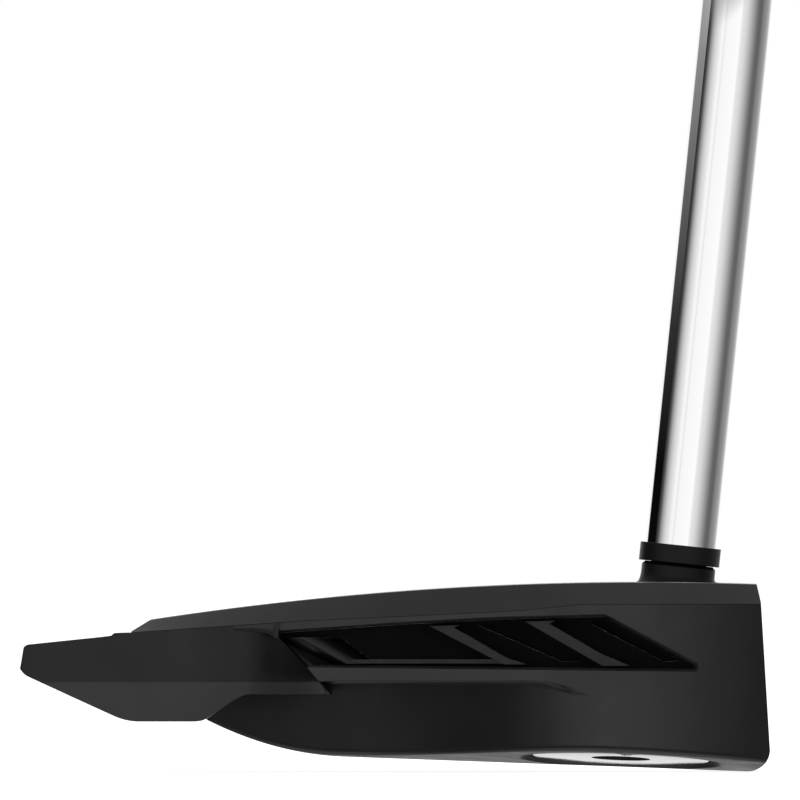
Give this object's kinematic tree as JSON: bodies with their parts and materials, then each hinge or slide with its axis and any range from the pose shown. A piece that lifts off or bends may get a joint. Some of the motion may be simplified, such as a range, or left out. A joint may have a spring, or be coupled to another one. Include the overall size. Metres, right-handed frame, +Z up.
{
  "type": "mallet putter",
  "caption": "Winged mallet putter: black head with ribbed side windows, double-bend chrome shaft, rubber grip and screw-in sole weights.",
  "frame": {"origin": "point on the sole's flat strip, midway between heel and toe, 21 mm behind the leading edge", "axes": "+X towards the target, out of the face; +Y towards the player, so the heel is at +Y and the toe at -Y; +Z up, with the shaft rising"},
  "size_m": [0.1101, 0.3465, 0.8175],
  "materials": {
    "satin_black": "fine satin black coating, faint grain",
    "truss_black": "moulded satin black",
    "insert_face": "milled, black anodised",
    "pad": "matt elastomer",
    "hosel_black": "satin black coating",
    "ferrule": "turned black plastic, soft sheen",
    "shaft_chrome": "polished chrome plate",
    "tape": "double-sided paper tape",
    "grip_rubber": "textured rubber",
    "weight_chrome": "turned and polished, fine rings",
    "washer": "moulded",
    "bush_steel": "turned",
    "screw_steel": "black oxide",
    "line_white": "paint-like white"
  },
  "bodies": {
    "head": {"head_body": "satin_black", "crown_plate": "satin_black", "rear_frame": "satin_black", "toe_truss": "truss_black", "heel_truss": "truss_black", "face_insert": "insert_face", "insert_pad": "pad", "hosel_post": "hosel_black", "ferrule": "ferrule", "shaft": "shaft_chrome", "grip_tape": "tape", "grip": "grip_rubber", "grip_cap": "grip_rubber", "toe_weight_bush": "bush_steel", "heel_weight_bush": "bush_steel", "toe_rear_screw": "screw_steel", "heel_rear_screw": "screw_steel", "toe_front_screw": "screw_steel", "heel_front_screw": "screw_steel", "sight_line": "line_white", "toe_side_line": "line_white", "heel_side_line": "line_white"},
    "toe_washer_carrier": {"toe_weight_washer": "washer"},
    "toe_weight_body": {"toe_weight": "weight_chrome"},
    "heel_washer_carrier": {"heel_weight_washer": "washer"},
    "heel_weight_body": {"heel_weight": "weight_chrome"}
  },
  "joints": [
    {"name": "toe_weight_travel", "type": "slide", "parent": "head", "child": "toe_washer_carrier", "axis": [-0.0364, -0.0749, -0.9965], "range_m": [0, 0.006]},
    {"name": "toe_weight_turn", "type": "hinge", "parent": "toe_washer_carrier", "child": "toe_weight_body", "pos_m": [0.0011, -0.031, 0.00079], "axis": [-0.0364, -0.0749, -0.9965], "range_deg": [0, 1440]},
    {"name": "heel_weight_travel", "type": "slide", "parent": "head", "child": "heel_washer_carrier", "axis": [-0.0364, 0.0749, -0.9965], "range_m": [0, 0.006]},
    {"name": "heel_weight_turn", "type": "hinge", "parent": "heel_washer_carrier", "child": "heel_weight_body", "pos_m": [0.0011, 0.031, 0.00079], "axis": [-0.0364, 0.0749, -0.9965], "range_deg": [0, 1440]}
  ],
  "couplings": [
    {"joint": "toe_weight_turn", "follows": "toe_weight_travel", "rad_per_m": 4188.8},
    {"joint": "heel_weight_turn", "follows": "heel_weight_travel", "rad_per_m": 4188.8}
  ]
}
